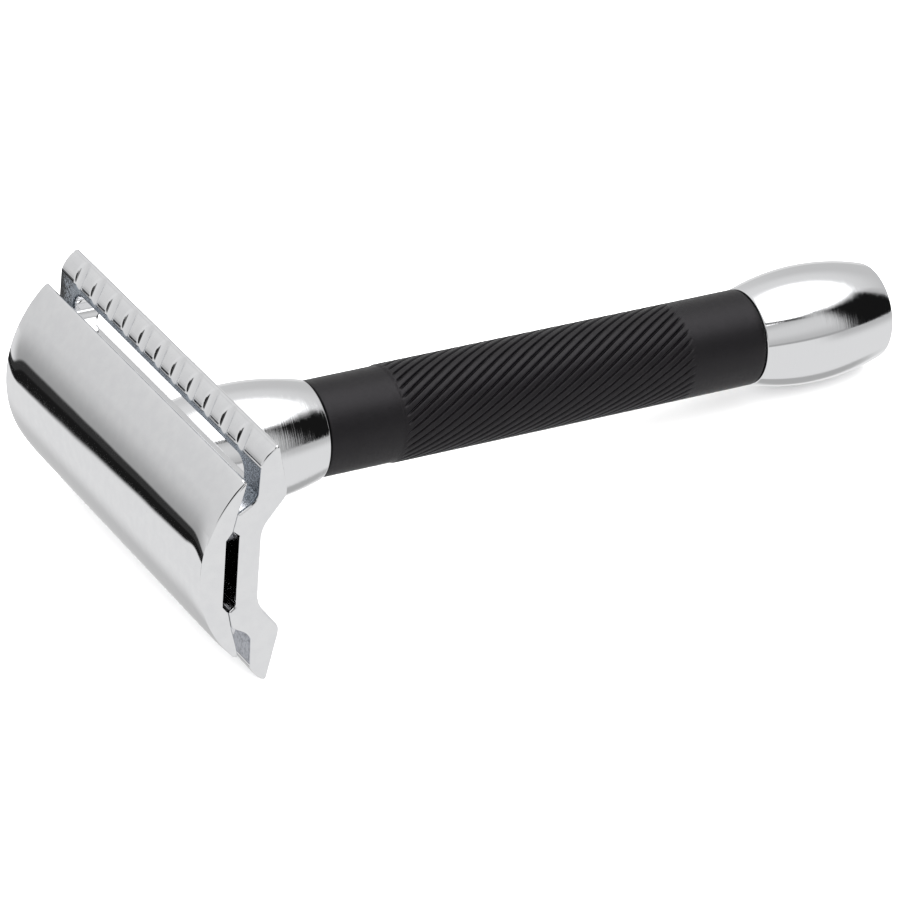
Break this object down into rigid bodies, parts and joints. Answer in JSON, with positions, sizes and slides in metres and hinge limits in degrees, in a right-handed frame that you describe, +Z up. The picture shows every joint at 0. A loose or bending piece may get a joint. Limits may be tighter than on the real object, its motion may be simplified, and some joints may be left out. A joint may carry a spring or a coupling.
{
  "type": "double-edge safety razor",
  "caption": "Double-edge safety razor with an arched cap, notched base plate and ribbed handle; its end knob turns to screw the cap on to the plate or lift it off.",
  "frame": {"origin": "on the table, under the middle of the whole razor", "axes": "+Z up, +X from the head towards the knob, +Y along the cutting edges; the razor lies on its lower bar and its knob"},
  "size_m": [0.0866, 0.0414, 0.0247],
  "materials": {
    "chrome": "polished chrome plate",
    "black_grip": "satin black coating",
    "steel": "machined steel",
    "brass": "machined brass",
    "nylon": "black nylon",
    "rubber": "black rubber"
  },
  "bodies": {
    "handle": {"base_plate": "chrome", "plate_bush": "brass", "neck_collar": "chrome", "front_bush": "brass", "core_tube": "steel", "handle_sleeve": "black_grip", "rear_bush": "brass", "rod_seal": "rubber", "thrust_washer": "nylon"},
    "knob": {"drive_nut": "brass", "rod_pin": "steel", "drive_rod": "steel", "front_washer": "nylon", "retaining_clip": "steel", "disc_spring": "steel", "knob": "chrome", "knob_screw": "steel", "knob_end_plug": "chrome"},
    "cap": {"top_cap": "chrome", "cap_stud": "steel", "locating_pin_left": "steel", "locating_pin_right": "steel"}
  },
  "joints": [
    {"name": "knob_turn", "type": "hinge", "parent": "handle", "child": "knob", "pos_m": [0.02788, 0, 0.00673], "axis": [0.9961, 0, -0.0877], "range_deg": [0, 3600]},
    {"name": "cap_lift", "type": "slide", "parent": "handle", "child": "cap", "axis": [-0.9961, 0, 0.0877], "range_m": [0, 0.00801]}
  ],
  "couplings": [
    {"joint": "cap_lift", "follows": "knob_turn", "m_per_rad": 0.00012732}
  ]
}
